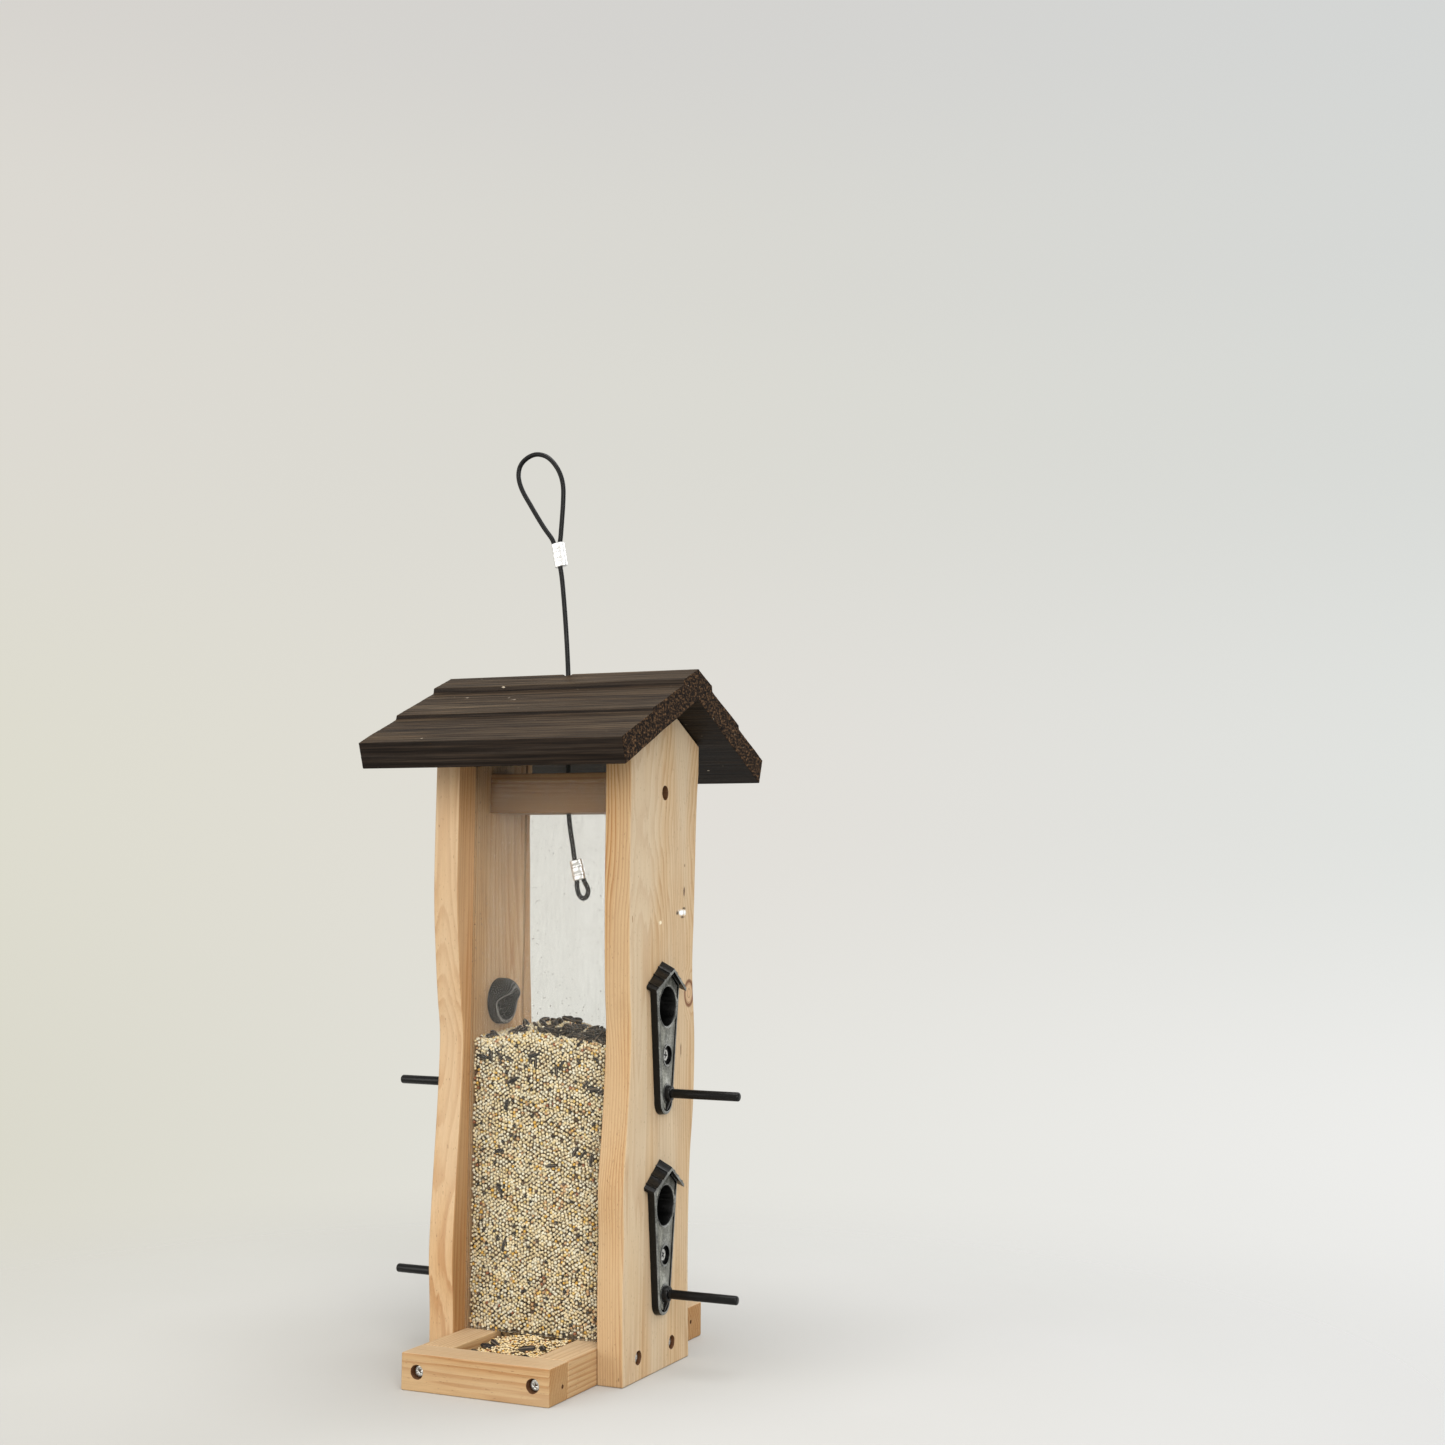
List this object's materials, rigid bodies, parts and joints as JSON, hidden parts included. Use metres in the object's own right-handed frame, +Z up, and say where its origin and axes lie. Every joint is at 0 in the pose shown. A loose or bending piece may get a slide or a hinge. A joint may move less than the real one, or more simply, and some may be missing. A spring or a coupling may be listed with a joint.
{
  "type": "bird feeder",
  "caption": "Hanging wooden silo bird feeder: two wavy side boards, clear panes, gable roof sliding on a looped cable, tray base, side ports with perches.",
  "frame": {"origin": "on the ground under the middle of the feeder", "axes": "+Z up, front tray towards -Y, side boards and perches along +X and -X"},
  "size_m": [0.234, 0.207, 0.5633],
  "materials": {
    "pine": "planed natural pine, oiled, matt",
    "stained_roof": "dark brown stain, brushed grain, satin",
    "black_plastic": "moulded, fine texture, semi-matt",
    "zinc_steel": "bright zinc plate",
    "clear_acrylic": "clear acrylic sheet, dusty inside",
    "cable_cover": "black plastic sleeve over steel wire rope",
    "crimp_aluminium": "pressed, satin",
    "seed": "loose millet and sunflower mix"
  },
  "bodies": {
    "housing": {"side_board_left": "pine", "base_rail_left": "pine", "port_plate_left_lower": "black_plastic", "perch_left_lower": "black_plastic", "port_hood_left_lower": "black_plastic", "port_screw_left_lower": "zinc_steel", "port_plate_left_upper": "black_plastic", "perch_left_upper": "black_plastic", "port_hood_left_upper": "black_plastic", "port_screw_left_upper": "zinc_steel", "board_screw_left_front": "zinc_steel", "rail_screw_front_left": "zinc_steel", "floor_nail_left_front": "zinc_steel", "board_screw_left_back": "zinc_steel", "rail_screw_back_left": "zinc_steel", "floor_nail_left_back": "zinc_steel", "beam_screw_left": "zinc_steel", "side_board_right": "pine", "base_rail_right": "pine", "port_plate_right_lower": "black_plastic", "perch_right_lower": "black_plastic", "port_hood_right_lower": "black_plastic", "port_screw_right_lower": "zinc_steel", "port_plate_right_upper": "black_plastic", "perch_right_upper": "black_plastic", "port_hood_right_upper": "black_plastic", "port_screw_right_upper": "zinc_steel", "board_screw_right_front": "zinc_steel", "rail_screw_front_right": "zinc_steel", "floor_nail_right_front": "zinc_steel", "board_screw_right_back": "zinc_steel", "rail_screw_back_right": "zinc_steel", "floor_nail_right_back": "zinc_steel", "beam_screw_right": "zinc_steel", "tray_rail_front": "pine", "tray_rail_back": "pine", "floor_board": "pine", "cross_beam": "pine", "seed_fill": "seed"},
    "roof": {"roof_panel_front": "stained_roof", "roof_panel_back": "stained_roof", "ridge_nail_left": "zinc_steel", "ridge_nail_right": "zinc_steel"},
    "cable": {"cable": "cable_cover", "cable_upper_loop": "cable_cover", "cable_lower_loop": "cable_cover", "ferrule_upper": "crimp_aluminium", "ferrule_lower": "crimp_aluminium"},
    "front_pane": {"front_pane": "clear_acrylic"},
    "back_pane": {"back_pane": "clear_acrylic"}
  },
  "joints": [
    {"name": "roof_lift", "type": "slide", "parent": "housing", "child": "roof", "axis": [-0.075, 0, 0.9972], "range_m": [0, 0.062]},
    {"name": "cable_slide", "type": "slide", "parent": "housing", "child": "cable", "axis": [-0.09, 0, 0.9959], "range_m": [0, 0.027]},
    {"name": "front_pane_slide", "type": "slide", "parent": "housing", "child": "front_pane", "axis": [0, 0, 1], "range_m": [0, 0.0085]},
    {"name": "back_pane_slide", "type": "slide", "parent": "housing", "child": "back_pane", "axis": [0, 0, 1], "range_m": [0, 0.0085]}
  ]
}
